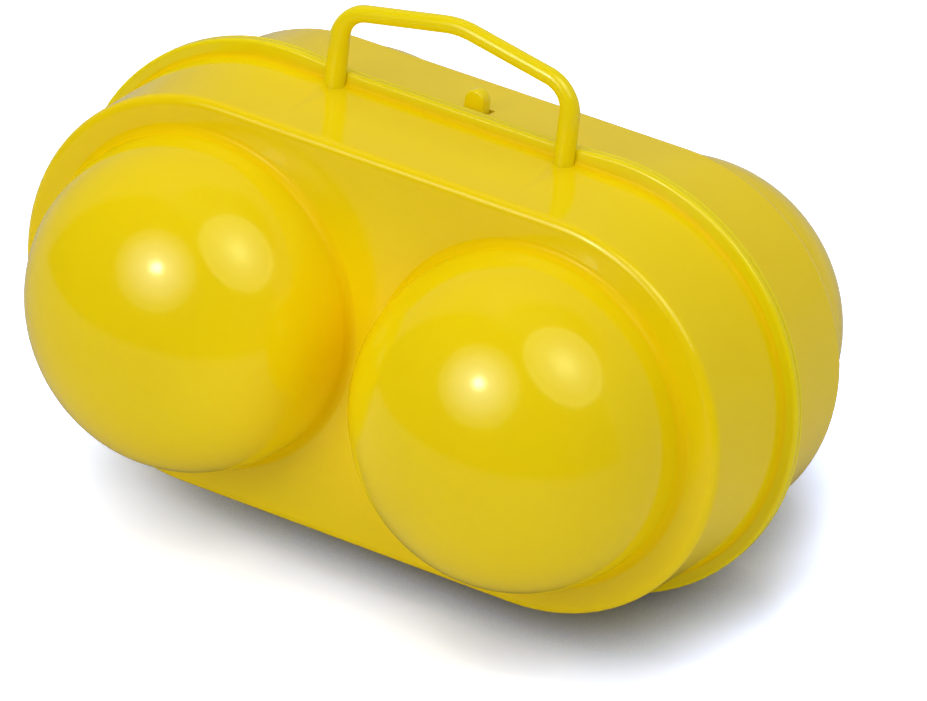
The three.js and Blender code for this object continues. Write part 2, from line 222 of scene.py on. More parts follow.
class Layout:
    """The case's derived sizes, drawn upright about the middle of its seam as the solids are."""

    def __init__(self):
        s = sizes()
        self.mouth = s.seam_gap / 2
        self.foot = s.dome_radius + s.dome_fillet
        self.dome_half_spacing = self.foot + s.dome_gap / 2
        self.end_half_spacing = self.dome_half_spacing + s.end_outset
        self.front_rim = self.foot + s.front_margin + s.rim_round
        self.rear_rim = self.foot + s.rear_margin + s.rim_round
        self.mouth_radius = self.rear_rim + s.rear_draft
        self.flange_reach = self.mouth_radius + s.flange_width
        self.flange_end_half_spacing = self.end_half_spacing - s.flange_end_inset
        self.flange_back = self.mouth + s.flange_thickness
        self.hinge_drop = self.mouth_radius + s.hinge_outset
        self.shoulder_height = self.flange_reach + s.shoulder_rise
        self.peak_height = self.shoulder_height + s.peak_rise
        self.leg_plane = -self.mouth - s.leg_radius
        self.barrel_pitch = s.barrel_length + s.barrel_gap
        self.pin_length = 2 * self.barrel_pitch + s.barrel_length
        self.front_barrels = [-s.hinge_half_spacing, s.hinge_half_spacing]
        self.rear_barrels = [x + k * self.barrel_pitch for x in self.front_barrels for k in (-1, 1)]
        self.button_front = s.button_place - s.button_depth / 2
        self.button_back = s.button_place + s.button_depth / 2
        root_wall = self.tub_radius(s.latch_root_reach, self.front_rim, s.front_depth) - s.wall
        self.root_top = root_wall - s.running_gap
        self.tongue_top = self.root_top - s.tongue_drop
        self.tongue_under = self.tongue_top - s.tongue_thickness
        self.strip_under = self.flange_reach - s.strip_height
        self.button_top = self.flange_reach + s.button_rise

    def tub_radius(self, depth, rim, full_depth):
        s = sizes()
        straight = full_depth - s.rim_round - self.mouth
        return self.mouth_radius - (self.mouth_radius - rim) * (depth - self.mouth) / straight

    def standing(self):
        """Moves what is drawn upright to where the case stands and leans, from its hinge in the frame."""
        s = sizes()
        back = s.rear_depth - s.rim_round
        rise = self.hinge_drop - (self.rear_rim - s.rim_round)
        step = (s.rim_round - s.barrel_radius) / math.hypot(back, rise)
        lean = math.atan2(rise, back) - math.asin(step)
        hinge = Matrix.Translation(Vector(HINGE["pos_m"]))
        return hinge @ Matrix.Rotation(-lean, 4, "X") @ Matrix.Translation((0, 0, self.hinge_drop))


# Meshes

# Points closer than this are one point, and edges that turn by more degrees than this stay sharp
MERGE = 2e-6
SHARP = 32


def smoothstep(low, high, value):
    t = min(max((value - low) / (high - low), 0.0), 1.0)
    return t * t * (3 - 2 * t)


def arc(across, along, radius, start, stop, steps):
    """Points of an arc from start to stop degrees about (across, along)."""
    turns = [math.radians(start + (stop - start) * k / steps) for k in range(steps + 1)]
    return [(across + radius * math.cos(t), along + radius * math.sin(t)) for t in turns]


def add_ring(bm, points):
    return [bm.verts.new(p) for p in points]


def bridge(bm, first, second):
    count = len(first)
    for k in range(count):
        n = (k + 1) % count
        bm.faces.new((first[k], first[n], second[n], second[k]))


def fan(bm, ring, tip):
    count = len(ring)
    top = bm.verts.new(tip)
    for k in range(count):
        bm.faces.new((ring[k], ring[(k + 1) % count], top))


def loop_edges(bm, ring):
    return [bm.edges.get((ring[k], ring[(k + 1) % len(ring)])) for k in range(len(ring))]


def turned_bar(bm, profile, sides, place):
    """A closed bar turned from a profile of (radius, along), whose axis is Z before place moves it."""
    rings = []
    for radius, along in profile[1:-1]:
        turns = [2 * math.pi * k / sides for k in range(sides)]
        points = [Vector((radius * math.cos(t), radius * math.sin(t), along)) for t in turns]
        rings.append(add_ring(bm, [place @ p for p in points]))
    for first, second in zip(rings, rings[1:]):
        bridge(bm, first, second)
    fan(bm, rings[0], place @ Vector((0, 0, profile[0][1])))
    fan(bm, rings[-1], place @ Vector((0, 0, profile[-1][1])))


def bar_profile(radius, half_length, edge, steps=3):
    low = arc(radius - edge, -half_length + edge, edge, -90, 0, steps)
    high = arc(radius - edge, half_length - edge, edge, 0, 90, steps)
    return [(0, -half_length), *low, *high, (0, half_length)]


def bar_mesh(name, bars, sides=48):
    """One mesh of several separate bars, each (radius, length, edge, axis, middle)."""
    bm = bmesh.new()
    for radius, bar_length, edge, axis, middle in bars:
        turn = Matrix.Rotation(math.pi / 2, 4, "Y") if axis == "X" else Matrix.Identity(4)
        place = Matrix.Translation(middle) @ turn
        turned_bar(bm, bar_profile(radius, bar_length / 2, edge), sides, place)
    return mesh_from(bm, name)


def box_mesh(name, low, high):
    bm = bmesh.new()
    bmesh.ops.create_cube(bm, size=1.0)
    low, high = Vector(low), Vector(high)
    for v in bm.verts:
        v.co = Vector([low[k] + (v.co[k] + 0.5) * (high[k] - low[k]) for k in range(3)])
    return mesh_from(bm, name)


def mesh_from(bm, name):
    bmesh.ops.recalc_face_normals(bm, faces=bm.faces)
    mesh = bpy.data.meshes.new(name)
    bm.to_mesh(mesh)
    bm.free()
    return mesh


def carved(mesh, steps):
    """The mesh after each (operation, cutter mesh) in turn."""
    holder = bpy.data.objects.new("carved", mesh)
    bpy.context.scene.collection.objects.link(holder)
    for operation, cutter in steps:
        tool = bpy.data.objects.new("cutter", cutter)
        bpy.context.scene.collection.objects.link(tool)
        modifier = holder.modifiers.new("carve", "BOOLEAN")
        modifier.operation = operation
        modifier.solver = "EXACT"
        modifier.object = tool
        depsgraph = bpy.context.evaluated_depsgraph_get()
        shaped = bpy.data.meshes.new_from_object(holder.evaluated_get(depsgraph))
        holder.modifiers.clear()
        bpy.data.objects.remove(tool)
        bpy.data.meshes.remove(cutter)
        holder.data = shaped
    result = holder.data
    bpy.data.objects.remove(holder)
    return result


def nowhere(co):
    return False


def everywhere(co):
    return True


def in_fillet(lay, vert):
    """Whether a vertex lies in the hollow fillet of a flange or of a dome's foot."""
    s = sizes()
    depth = abs(vert.co.y)
    by_flange = depth < lay.flange_back + s.flange_fillet + MARGIN / 2
    by_dome = depth > s.front_depth - MARGIN
    turns = [-edge.calc_face_angle_signed(0.0) for edge in vert.link_edges]
    return (by_flange or by_dome) and any(HOLLOW[0] < turn < HOLLOW[1] for turn in turns)


def add_piece(name, mesh, place, material, body, node, thin_at=nowhere):
    """Smooths the mesh but for its sharp edges, marks its thin parts and hollow corners for the
    material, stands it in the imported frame, lets it ride on its body and replaces its solid."""
    bm = bmesh.new()
    bm.from_mesh(mesh)
    bmesh.ops.remove_doubles(bm, verts=bm.verts, dist=MERGE)
    bmesh.ops.dissolve_degenerate(bm, edges=bm.edges, dist=MERGE)
    for face in bm.faces:
        face.smooth = True
    for edge in bm.edges:
        edge.smooth = len(edge.link_faces) == 2 and edge.calc_face_angle(0.0) < math.radians(SHARP)
    lay = Layout()
    thin = bm.verts.layers.float.new("thin")
    corner = bm.verts.layers.float.new("corner")
    for v in bm.verts:
        v[thin] = float(thin_at(v.co))
        v[corner] = float(in_fillet(lay, v))
    bm.transform(place)
    bm.to_mesh(mesh)
    bm.free()
    mesh.name = name
    mesh.materials.clear()
    mesh.materials.append(material)
    piece = bpy.data.objects.new(name, mesh)
    bpy.context.scene.collection.objects.link(piece)
    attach(piece, body)
    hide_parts(node)


# Shells

# An edge in a fillet's hollow turns by an angle between these; the rim of a seat or window turns by more
HOLLOW = (math.radians(8), math.radians(40))
# Facets of each round end, and where the straight sides have stations, as shares of their half length
END_STEPS = 44
STRAIGHT_SHARES = (0.985, 0.94, 0.89, 0.84, 0.79, 0.74, 0.69, 0.64, 0.6)
# Points this far off each round keep the shading of the flats beside it flat
MARGIN = 0.00008
# A dome's section is an ellipse at 2 and fuller above it; it ends a little below the solid's tip,
# and its first station stands this clear of the fillet
DOME_FULLNESS = 2.4
TIP_SHORT = 0.00003
FILLET_CLEARANCE = 0.0004
# Round of the mouth's inner edge, of the ends of barrels, of bores and notches, and of the seats
LIP = 0.00015
BARREL_EDGE = 0.0002
BORE_EDGE = 0.0001
SEAT_EDGE = 0.00005
# How far a cutter reaches past what it cuts, and the room round a leg or peg in its seat
OVERRUN = 0.001
SNUG = 0.00002


def case_ring(reach, half_spacing, ears, y):
    """Two round ends joined by straight sides that dip by the ears' height between the handle's legs."""
    straight = [*STRAIGHT_SHARES, *(-f for f in reversed(STRAIGHT_SHARES))]
    points = []
    for side in (1, -1):
        middle = 0.0 if side > 0 else math.pi
        for k in range(END_STEPS + 1):
            turn = middle + math.pi * (k / END_STEPS - 0.5)
            x = side * half_spacing + (reach + ears) * math.cos(turn)
            points.append(Vector((x, y, (reach + ears) * math.sin(turn))))
        for f in straight:
            height = reach + ears * smoothstep(STRAIGHT_SHARES[-1], 1.0, abs(f))
            points.append(Vector((side * f * half_spacing, y, side * height)))
    return points


def shell_profile(lay, rim, depth, crease):
    """The half's skin as (form, reach, depth) from the inner floor over the mouth to the outer face."""
    s = sizes()
    floor = depth - s.wall
    inner_round = s.rim_round - s.wall
    inner_rim = rim - s.wall
    face = s.closing_gap
    back = lay.flange_back
    edge = s.flange_edge
    nick = s.closing_edge
    fillet = s.flange_fillet

    def wall(y, inset=0.0):
        return lay.tub_radius(y, rim, depth) - inset

    tub = [(inner_rim - inner_round - MARGIN, floor)]
    tub += arc(inner_rim - inner_round, floor - inner_round, inner_round, 90, 0, 6)
    tub.append((wall(floor - inner_round - MARGIN, s.wall), floor - inner_round - MARGIN))
    tub.append((wall(face + LIP + MARGIN, s.wall), face + LIP + MARGIN))
    tub += arc(wall(face, s.wall) + LIP, face + LIP, LIP, 180, 270, 3)
    tub.append((wall(face, s.wall) + LIP + MARGIN, face))
    flange = [(lay.flange_reach - nick - MARGIN, face)]
    flange += arc(lay.flange_reach - nick, face + nick, nick, -90, 0, 3)
    flange += arc(lay.flange_reach - edge, back - edge, edge, 0, 90, 7)
    flange.append((lay.flange_reach - edge - MARGIN, back))
    outer = [(wall(back) + fillet + MARGIN, back)]
    outer += arc(wall(back) + fillet, back + fillet, fillet, 270, 180, 6)
    outer.append((wall(back + fillet + MARGIN), back + fillet + MARGIN))
    outer.append((wall(depth - crease - MARGIN), depth - crease - MARGIN))
    outer += arc(wall(depth - crease) - crease, depth - crease, crease, 0, 90, 10)
    outer.append((wall(depth - crease) - crease - MARGIN, depth))
    return [
        *(("tub", r, y) for r, y in tub),
        *(("flange", r, y) for r, y in flange),
        *(("tub", r, y) for r, y in outer),
    ]


def dome_profile(radius, dome_length, fillet, base):
    """A dome's section as (radius, height), from the flat that it stands on to just short of its tip."""
    points = [(radius + fillet + MARGIN, base)]
    points += arc(radius + fillet, base + fillet, fillet, 270, 180, 7)
    steps = 36
    for k in range(1, steps):
        turn = (math.pi / 2) * k / steps
        height = (dome_length - TIP_SHORT) * math.sin(turn) ** (2 / DOME_FULLNESS)
        if height > base + fillet + FILLET_CLEARANCE:
            points.append((radius * math.cos(turn), height))
    return points


def half_shell(side, rim, depth, crease):
    """Half of the case with its domes, open at the seam; side is -1 for the front, 1 for the rear."""
    lay, s = Layout(), sizes()
    bm = bmesh.new()
    rings = []
    for form, reach, y in shell_profile(lay, rim, depth, crease):
        flange = form == "flange"
        half_spacing = lay.flange_end_half_spacing if flange else lay.end_half_spacing
        ears = s.flange_ears if flange else 0.0
        rings.append(add_ring(bm, case_ring(reach, half_spacing, ears, side * y)))
    for first, second in zip(rings, rings[1:]):
        bridge(bm, first, second)
    skins = [
        (rings[-1], s.dome_radius, s.dome_length, s.dome_crease, 0.0),
        (rings[0], s.dome_radius - s.wall, s.dome_length - s.wall, s.dome_fillet, -s.wall),
    ]
    sides = studio().round_steps
    for outline, radius, dome_length, fillet, base in skins:
        loops = loop_edges(bm, outline)
        for dome_side in (1, -1):
            middle = Vector((dome_side * lay.dome_half_spacing, side * depth, 0))
            dome = []
            for r, height in dome_profile(radius, dome_length, fillet, base):
                turns = [2 * math.pi * k / sides for k in range(sides)]
                offsets = [Vector((r * math.cos(t), side * height, r * math.sin(t))) for t in turns]
                dome.append(add_ring(bm, [middle + o for o in offsets]))
            for first, second in zip(dome, dome[1:]):
                bridge(bm, first, second)
            fan(bm, dome[-1], middle + Vector((0, side * (dome_length - TIP_SHORT), 0)))
            loops += loop_edges(bm, dome[0])
        bmesh.ops.triangle_fill(bm, use_beauty=True, edges=loops)
    return mesh_from(bm, "half_shell")


def hinge_steps(lay, side, own, other):
    """What the hinge adds to a half and cuts out of it."""
    s = sizes()
    drop = -lay.hinge_drop
    reach = lay.flange_end_half_spacing + lay.flange_reach + s.flange_ears
    near, far = sorted((-side * OVERRUN, side * (lay.flange_back + s.flange_fillet)))
    trim = box_mesh(
        "trim", (-reach, near, -lay.flange_reach - OVERRUN), (reach, far, drop + s.seam_gap / 2)
    )

    def bars(radius, bar_length, edge, places):
        return [(radius, bar_length, edge, "X", (x, 0, drop)) for x in places]

    room = s.barrel_length + 2 * s.barrel_gap
    barrels = bars(s.barrel_radius, s.barrel_length, BARREL_EDGE, own)
    notches = bars(s.barrel_radius + s.running_gap, room, BORE_EDGE, other)
    bores = bars(s.pin_radius + s.pin_gap, lay.pin_length + OVERRUN, BORE_EDGE, lay.front_barrels)
    return [
        ("DIFFERENCE", trim),
        ("DIFFERENCE", bar_mesh("notches", notches)),
        ("UNION", bar_mesh("barrels", barrels)),
        ("DIFFERENCE", bar_mesh("bores", bores, 32)),
    ]


def handle_seats(lay):
    """The snug seats of the handle's legs in the flange, and of their pegs in the wall."""
    s = sizes()
    top = lay.flange_reach + OVERRUN
    low = lay.mouth_radius - s.wall - OVERRUN
    steps = []
    for radius, foot in ((s.leg_radius + SNUG, lay.mouth_radius), (s.peg_radius + SNUG, low)):
        bars = []
        for side in (-1, 1):
            middle = (side * s.leg_half_spacing, lay.leg_plane, (foot + top) / 2)
            bars.append((radius, top - foot, SEAT_EDGE, "Z", middle))
        steps.append(("DIFFERENCE", bar_mesh("seats", bars)))
    return steps


def latch_window(lay):
    """The window of the latch in the rear wall and flange, under the strip that its barb catches."""
    s = sizes()
    half = s.latch_width / 2 + s.running_gap
    low = (-half, -OVERRUN, lay.tongue_under - OVERRUN)
    high = (half, lay.button_back + s.window_back_room, lay.strip_under)
    return ("DIFFERENCE", box_mesh("window", low, high))


def on_flange(co):
    """Whether an upright point lies on the free part of a flange."""
    lay = Layout()
    reach = math.hypot(max(abs(co.x) - lay.flange_end_half_spacing, 0.0), co.z)
    free = lay.mouth_radius + sizes().flange_fillet + 2 * MARGIN
    return abs(co.y) < lay.flange_back + MARGIN and reach > free


class EGGCASE_OT_front_shell(bpy.types.Operator):
    """Build the front half shell, with its middle hinge barrels and the seats of the handle"""

    bl_idname = "egg_case.front_shell"
    bl_label = "Front shell"

    def execute(self, context):
        lay, s = Layout(), sizes()
        half = half_shell(-1, lay.front_rim, s.front_depth, s.front_crease)
        steps = hinge_steps(lay, -1, lay.front_barrels, lay.rear_barrels) + handle_seats(lay)
        add_piece(
            "front_shell_moulding", carved(half, steps), lay.standing(), moulded_plastic(),
            "front_half", "front_shell", thin_at=on_flange,
        )
        return {"FINISHED"}


class EGGCASE_OT_rear_shell(bpy.types.Operator):
    """Build the rear half shell, with its outer hinge barrels and the latch's window"""

    bl_idname = "egg_case.rear_shell"
    bl_label = "Rear shell"

    def execute(self, context):
        lay, s = Layout(), sizes()
        half = half_shell(1, lay.rear_rim, s.rear_depth, s.rim_round)
        steps = hinge_steps(lay, 1, lay.rear_barrels, lay.front_barrels) + [latch_window(lay)]
        add_piece(
            "rear_shell_moulding", carved(half, steps), lay.standing(), moulded_plastic(),
            "rear_half", "rear_shell", thin_at=on_flange,
        )
        return {"FINISHED"}


# Handle

ROD_SIDES = 40
BEND_STEPS = 14
# The rod's stations lie no further apart than this, so that its easing thickness is smooth
STATION_GAP = 0.0012
# How far inside the wall a leg starts, and its peg as far again; how far a peg reaches past the wall,
# and the chamfer at its tip
FOOT_STEP = 0.00005
PEG_PAST_WALL = 0.0003
PEG_TIP = 0.0002


def rounded_corner(before, corner, after, radius, steps):
    """Points of the round that leads from before to after past a corner."""
    arrive = (before - corner).normalized()
    leave = (after - corner).normalized()
    half = arrive.angle(leave) / 2
    start = corner + arrive * (radius / math.tan(half))
    centre = corner + (arrive + leave).normalized() * (radius / math.sin(half))
    axis = arrive.cross(leave).normalized()
    sweep = -(math.pi - 2 * half)
    return [
        centre + Matrix.Rotation(sweep * k / steps, 3, axis) @ (start - centre) for k in range(steps + 1)
    ]


def handle_line(lay):
    """The rod's line from foot to foot."""
    s = sizes()
    foot = lay.mouth_radius + s.running_gap

    def at(x, z):
        return Vector((x, lay.leg_plane, z))

    side = s.leg_half_spacing
    corners = [at(-side, foot), at(-side, lay.shoulder_height), at(0, lay.peak_height),
               at(side, lay.shoulder_height), at(side, foot)]
    line = [corners[0]]
    for k, bend in enumerate((s.shoulder_bend, s.peak_bend, s.shoulder_bend)):
        line += rounded_corner(corners[k], corners[k + 1], corners[k + 2], bend, BEND_STEPS)
    line.append(corners[-1])
    stations = []
    for a, b in zip(line, line[1:]):
        parts = max(1, math.ceil((b - a).length / STATION_GAP))
        stations += [a.lerp(b, k / parts) for k in range(parts)]
    return [*stations, line[-1]]


def rod_radius(lay, z):
    """The rod's radius at a height: it thins from leg to bar round the shoulders."""
    s = sizes()
    easing = smoothstep(lay.shoulder_height - s.shoulder_bend, lay.shoulder_height, z)
    return s.leg_radius + (s.bar_radius - s.leg_radius) * easing


def rod_mesh(lay):
    """The bent rod, its feet on the front half's wall, with a peg below each foot."""
    s = sizes()
    line = handle_line(lay)
    across = Vector((0, 1, 0))
    up = Vector((0, 0, 1))
    foot = lay.tub_radius(-lay.leg_plane, lay.front_rim, s.front_depth)
    peg_end = lay.mouth_radius - s.wall - PEG_PAST_WALL
    peg = (
        (peg_end, s.peg_radius - PEG_TIP), (peg_end + PEG_TIP, s.peg_radius),
        (foot - 2 * FOOT_STEP, s.peg_radius), (foot - FOOT_STEP, s.leg_radius),
    )
    bm = bmesh.new()
    rings = []

    def ring_at(point, along, radius):
        in_plane = across.cross(along)
        turns = [2 * math.pi * k / ROD_SIDES for k in range(ROD_SIDES)]
        offsets = [across * (radius * math.cos(t)) + in_plane * (radius * math.sin(t)) for t in turns]
        rings.append(add_ring(bm, [point + o for o in offsets]))

    def at_height(point, z):
        return Vector((point.x, point.y, z))

    for z, radius in peg:
        ring_at(at_height(line[0], z), up, radius)
    for k, point in enumerate(line):
        before, after = line[max(k - 1, 0)], line[min(k + 1, len(line) - 1)]
        ring_at(point, (after - before).normalized(), rod_radius(lay, point.z))
    for z, radius in reversed(peg):
        ring_at(at_height(line[-1], z), -up, radius)
    for first, second in zip(rings, rings[1:]):
        bridge(bm, first, second)
    fan(bm, rings[0], at_height(line[0], peg_end))
    fan(bm, rings[-1], at_height(line[-1], peg_end))
    return mesh_from(bm, "rod")


class EGGCASE_OT_handle(bpy.types.Operator):
    """Build the carrying handle: a bent rod that stands in the front flange"""

    bl_idname = "egg_case.handle"
    bl_label = "Carrying handle"

    def execute(self, context):
        lay = Layout()
        add_piece(
            "carry_handle_rod", rod_mesh(lay), lay.standing(), moulded_plastic(),
            "front_half", "carry_handle", thin_at=everywhere,
        )
        return {"FINISHED"}


# Latch

TONGUE_EDGE = 0.00012
BUTTON_EDGE = 0.0003


def prism(points, depth, edge, place):
    """A plate with rounded edges, from its outline in X and Y and its depth along Z, moved by place."""
    bm = bmesh.new()
    base = bm.faces.new([bm.verts.new((x, y, 0)) for x, y in points])
    grown = bmesh.ops.extrude_face_region(bm, geom=[base])
    for v in grown["geom"]:
        if isinstance(v, bmesh.types.BMVert):
            v.co.z += depth
    bmesh.ops.recalc_face_normals(bm, faces=bm.faces)
    sharp = [e for e in bm.edges if e.calc_face_angle(0.0) > math.radians(30)]
    bmesh.ops.bevel(
        bm, geom=sharp, offset=edge, segments=3, profile=0.5, affect="EDGES", clamp_overlap=True
    )
    bm.transform(place)
    return bm


def latch_mesh(lay):
    """The tongue with its root in front and its barb behind the flange, and the button at its end."""
    s = sizes()
    barb_top = lay.strip_under + s.barb_bite
    barb_front = lay.flange_back + s.running_gap
    root_back = s.latch_root_length - s.latch_root_reach
    outline = [
        (-s.latch_root_reach, lay.tongue_under), (lay.button_back, lay.tongue_under),
        (lay.button_back, lay.tongue_top), (lay.button_front, barb_top - s.barb_tail_drop),
        (barb_front, barb_top), (barb_front, lay.tongue_top), (root_back, lay.tongue_top),
        (root_back, lay.root_top), (-s.latch_root_reach, lay.root_top),
    ]
    half = s.latch_width / 2
    lengthways = Matrix(((0, 0, 1, -half), (1, 0, 0, 0), (0, 1, 0, 0), (0, 0, 0, 1)))
    tongue = mesh_from(prism(outline, s.latch_width, TONGUE_EDGE, lengthways), "tongue")
    crown = arc(0, lay.button_top - half, half, 0, 180, 16)
    button_outline = [(-half, lay.tongue_under), (half, lay.tongue_under), *crown]
    crosswise = Matrix(((1, 0, 0, 0), (0, 0, 1, lay.button_front), (0, 1, 0, 0), (0, 0, 0, 1)))
    button = mesh_from(prism(button_outline, s.button_depth, BUTTON_EDGE, crosswise), "button")
    return carved(tongue, [("UNION", button)])


class EGGCASE_OT_latch(bpy.types.Operator):
    """Build the latch: a springy tongue with a barb and a round button"""

    bl_idname = "egg_case.latch"
    bl_label = "Latch"

    def execute(self, context):
        lay = Layout()
        add_piece(
            "latch_tongue_and_button", latch_mesh(lay), lay.standing(), moulded_plastic(),
            "latch", "latch_tongue", thin_at=everywhere,
        )
        return {"FINISHED"}


# Hinge pins


class EGGCASE_OT_hinge_pins(bpy.types.Operator):
    """Build the two wire pins of the hinge"""

    bl_idname = "egg_case.hinge_pins"
    bl_label = "Hinge pins"

    def execute(self, context):
        lay, s = Layout(), sizes()
        for name, x in zip(("left", "right"), lay.front_barrels):
            pin = (s.pin_radius, lay.pin_length, s.pin_chamfer, "X", (x, 0, -lay.hinge_drop))
            add_piece(
                "hinge_wire_" + name, bar_mesh("pin", [pin], 32), lay.standing(), drawn_steel(),
                "rear_half", "hinge_pin_" + name,
            )
        return {"FINISHED"}


# Materials


class Wire:
    """A shader socket on which sums can be written."""

    def __init__(self, finish, socket):
        self.finish = finish
        self.socket = socket

    def maths(self, operation, first, second):
        return self.finish.node("ShaderNodeMath", {"operation": operation}, {0: first, 1: second})

    def __add__(self, other):
        return self.maths("ADD", self, other)

    __radd__ = __add__

    def __mul__(self, other):
        return self.maths("MULTIPLY", self, other)

    __rmul__ = __mul__

    def __sub__(self, other):
        return self.maths("SUBTRACT", self, other)

    def __rsub__(self, other):
        return self.maths("SUBTRACT", other, self)


class Finish:
    """A node tree under construction."""

    def __init__(self, tree):
        self.tree = tree
        self.tree.nodes.clear()

    def node(self, kind, settings=None, inputs=None, output=0):
        """A new node, its settings first, then its sockets' values or links. Gives one output."""
        node = self.tree.nodes.new(kind)
        for key, value in (settings or {}).items():
            setattr(node, key, value)
        for key, value in (inputs or {}).items():
            if isinstance(value, Wire):
                self.tree.links.new(value.socket, node.inputs[key])
            else:
                node.inputs[key].default_value = value
        return Wire(self, node.outputs[output]) if len(node.outputs) else None

    def split(self, kind, inputs=None):
        """All outputs of a new node."""
        node = self.node(kind, {}, inputs).socket.node
        return {socket.name: Wire(self, socket) for socket in node.outputs}

    def mixed(self, factor, first, second):
        """One colour going over into another."""
        inputs = {0: factor, 6: rgba(first), 7: rgba(second)}
        return self.node("ShaderNodeMix", {"data_type": "RGBA"}, inputs, output=2)

    def noise(self, place, scale, detail=2.0, roughness=0.5):
        inputs = {"Vector": place, "Scale": scale, "Detail": detail, "Roughness": roughness}
        return self.node("ShaderNodeTexNoise", {}, inputs)

    def ramp(self, value, low, high):
        """The value as 0 below low and 1 above high."""
        settings = {"interpolation_type": "SMOOTHSTEP"}
        return self.node("ShaderNodeMapRange", settings, {0: value, 1: low, 2: high, 3: 0.0, 4: 1.0})


def rgba(value):
    return value if isinstance(value, Wire) else (*value[:3], 1.0)


def kept_material(name, build):
    """The material of that name, built once."""
    material = bpy.data.materials.get(name)
    if material is None:
        material = bpy.data.materials.new(name)
        material.use_nodes = True
        build(Finish(material.node_tree))
    return material


# Between the domes the colour is painted brighter and warmer, a painted glow of the light that the domes
# throw on each other. It fills an ellipse 21 mm wide to each side and 26 mm high, 33 mm above the floor:
# what a place is multiplied by, and what is added, to give its distance from the ellipse's middle as a
# share
BETWEEN_PAINTED_GLOW = {1: (48.0, 0.0, 38.0), 2: (0.0, 0.0, -1.25)}
# Which way the hairline scratches run, and how much finer they are across than along
SCRATCHES = {"Rotation": (0.3, 0.5, 0.9), "Scale": (90.0, 4500.0, 4500.0)}


def moulded_plastic():
    return kept_material("yellow moulded plastic", build_moulded_plastic)


def build_moulded_plastic(finish):
    """Glossy yellow plastic with flow shades, a fine moulded skin, smears and hairline scratches. It is
    painted with
    light: warmer and brighter between the domes, greener where it is thin; and it is matt in the hollow
    corners, with a painted shade of deeper orange there."""
    f = finish_settings()
    place = finish.node("ShaderNodeTexCoord", output=3)
    flow = finish.ramp(finish.noise(place, 55.0, 3.0), 0.35, 0.7)
    # Where the painted glow between the domes lies: an ellipse about the middle of the face
    apart = finish.node("ShaderNodeVectorMath", {"operation": "MULTIPLY_ADD"}, {0: place, **BETWEEN_PAINTED_GLOW})
    apart = finish.node("ShaderNodeVectorMath", {"operation": "LENGTH"}, {0: apart}, output=1)
    between = 1 - finish.ramp(apart, 0.3, 1.0)
    grain = finish.noise(place, 900.0, 2.0)
    smears = finish.ramp(finish.noise(place, 140.0, 4.0, 0.6), 0.5, 0.8)
    stretched = finish.node("ShaderNodeMapping", {}, {"Vector": place, **SCRATCHES})
    hairs = finish.ramp(finish.noise(stretched, 1.0, 1.0), 0.72, 0.80)
    thin = finish.node("ShaderNodeAttribute", {"attribute_name": "thin"}, output=2)
    corner = finish.node("ShaderNodeAttribute", {"attribute_name": "corner"}, output=2)
    base = finish.mixed(flow * 0.45, f.plastic, f.plastic_deep)
    # Painted glow between the domes: brighter and warmer
    base = finish.mixed(between * 0.95, base, f.plastic_between)
    # Painted glow of light passing through the thin parts: greener and a little lighter
    base = finish.mixed(thin, base, f.plastic_thin)
    base = finish.mixed(grain * 0.06, base, f.plastic_grain)
    # Painted shade: a deeper orange in the hollow corners
    base = finish.mixed(corner * 0.5, base, f.plastic_corner)
    roughness = f.gloss_roughness + smears * f.smear_dullness + hairs * f.hair_dullness
    height = grain * 0.25 + finish.noise(place, 160.0, 1.0)
    bump = finish.node(
        "ShaderNodeBump", {}, {"Strength": f.skin_bump, "Distance": 0.00003, "Height": height}
    )
    skin = finish.node("ShaderNodeBsdfPrincipled", {}, {
        "Base Color": base,
        "Roughness": roughness,
        "IOR": 1.5,
        "Specular IOR Level": 0.35,
        "Normal": bump,
        "Subsurface Weight": f.glow,
        "Subsurface Radius": (1.0, 0.6, 0.05),
        "Subsurface Scale": 0.003,
    })
    matt = finish.node("ShaderNodeBsdfPrincipled", {}, {
        "Base Color": base,
        "Roughness": 1.0,
        "Specular IOR Level": 0.0,
        "Normal": bump,
    })
    surface = finish.node("ShaderNodeMixShader", {}, {0: corner * 0.85, 1: skin, 2: matt})
    finish.node("ShaderNodeOutputMaterial", {}, {"Surface": surface})


def drawn_steel():
    return kept_material("drawn steel wire", build_drawn_steel)


def build_drawn_steel(finish):
    """Bright wire with fine lines along it, as drawing leaves them, and a few dull spots."""
    f = finish_settings()
    place = finish.node("ShaderNodeTexCoord", output=3)
    along = finish.node("ShaderNodeMapping", {}, {"Vector": place, "Scale": (150.0, 9000.0, 9000.0)})
    lines = finish.noise(along, 1.0, 2.0)
    spots = finish.ramp(finish.noise(place, 700.0, 3.0), 0.6, 0.75)
    base = finish.mixed(spots * 0.5, f.steel, f.steel_dull)
    bump = finish.node("ShaderNodeBump", {}, {"Strength": 0.3, "Distance": 0.00002, "Height": lines})
    steel = finish.node("ShaderNodeBsdfPrincipled", {}, {
        "Base Color": base,
        "Metallic": 1.0,
        "Roughness": f.steel_roughness + lines * 0.12 + spots * 0.2,
        "Normal": bump,
    })
    finish.node("ShaderNodeOutputMaterial", {}, {"Surface": steel})


# Studio

# The paper's colours: its fibres; what the camera sees of it far off, and close to the case, where it is
# painted brighter and bluer against the case's shade and the yellow light that the plastic throws there;
# its fibres there;
# and what the gloss sees of it, with a painted shade in its nooks
FIBRES = (0.78, 0.78, 0.78)
SEEN_FAR = (1.52, 1.52, 1.52)
SEEN_NEAR_PAINTED_LIGHT = (1.72, 1.97, 2.88)
SEEN_FIBRES = (1.0, 1.0, 1.0)
GLOSS_NOOK = (0.42, 0.42, 0.42)
BLACK = (0.0, 0.0, 0.0)
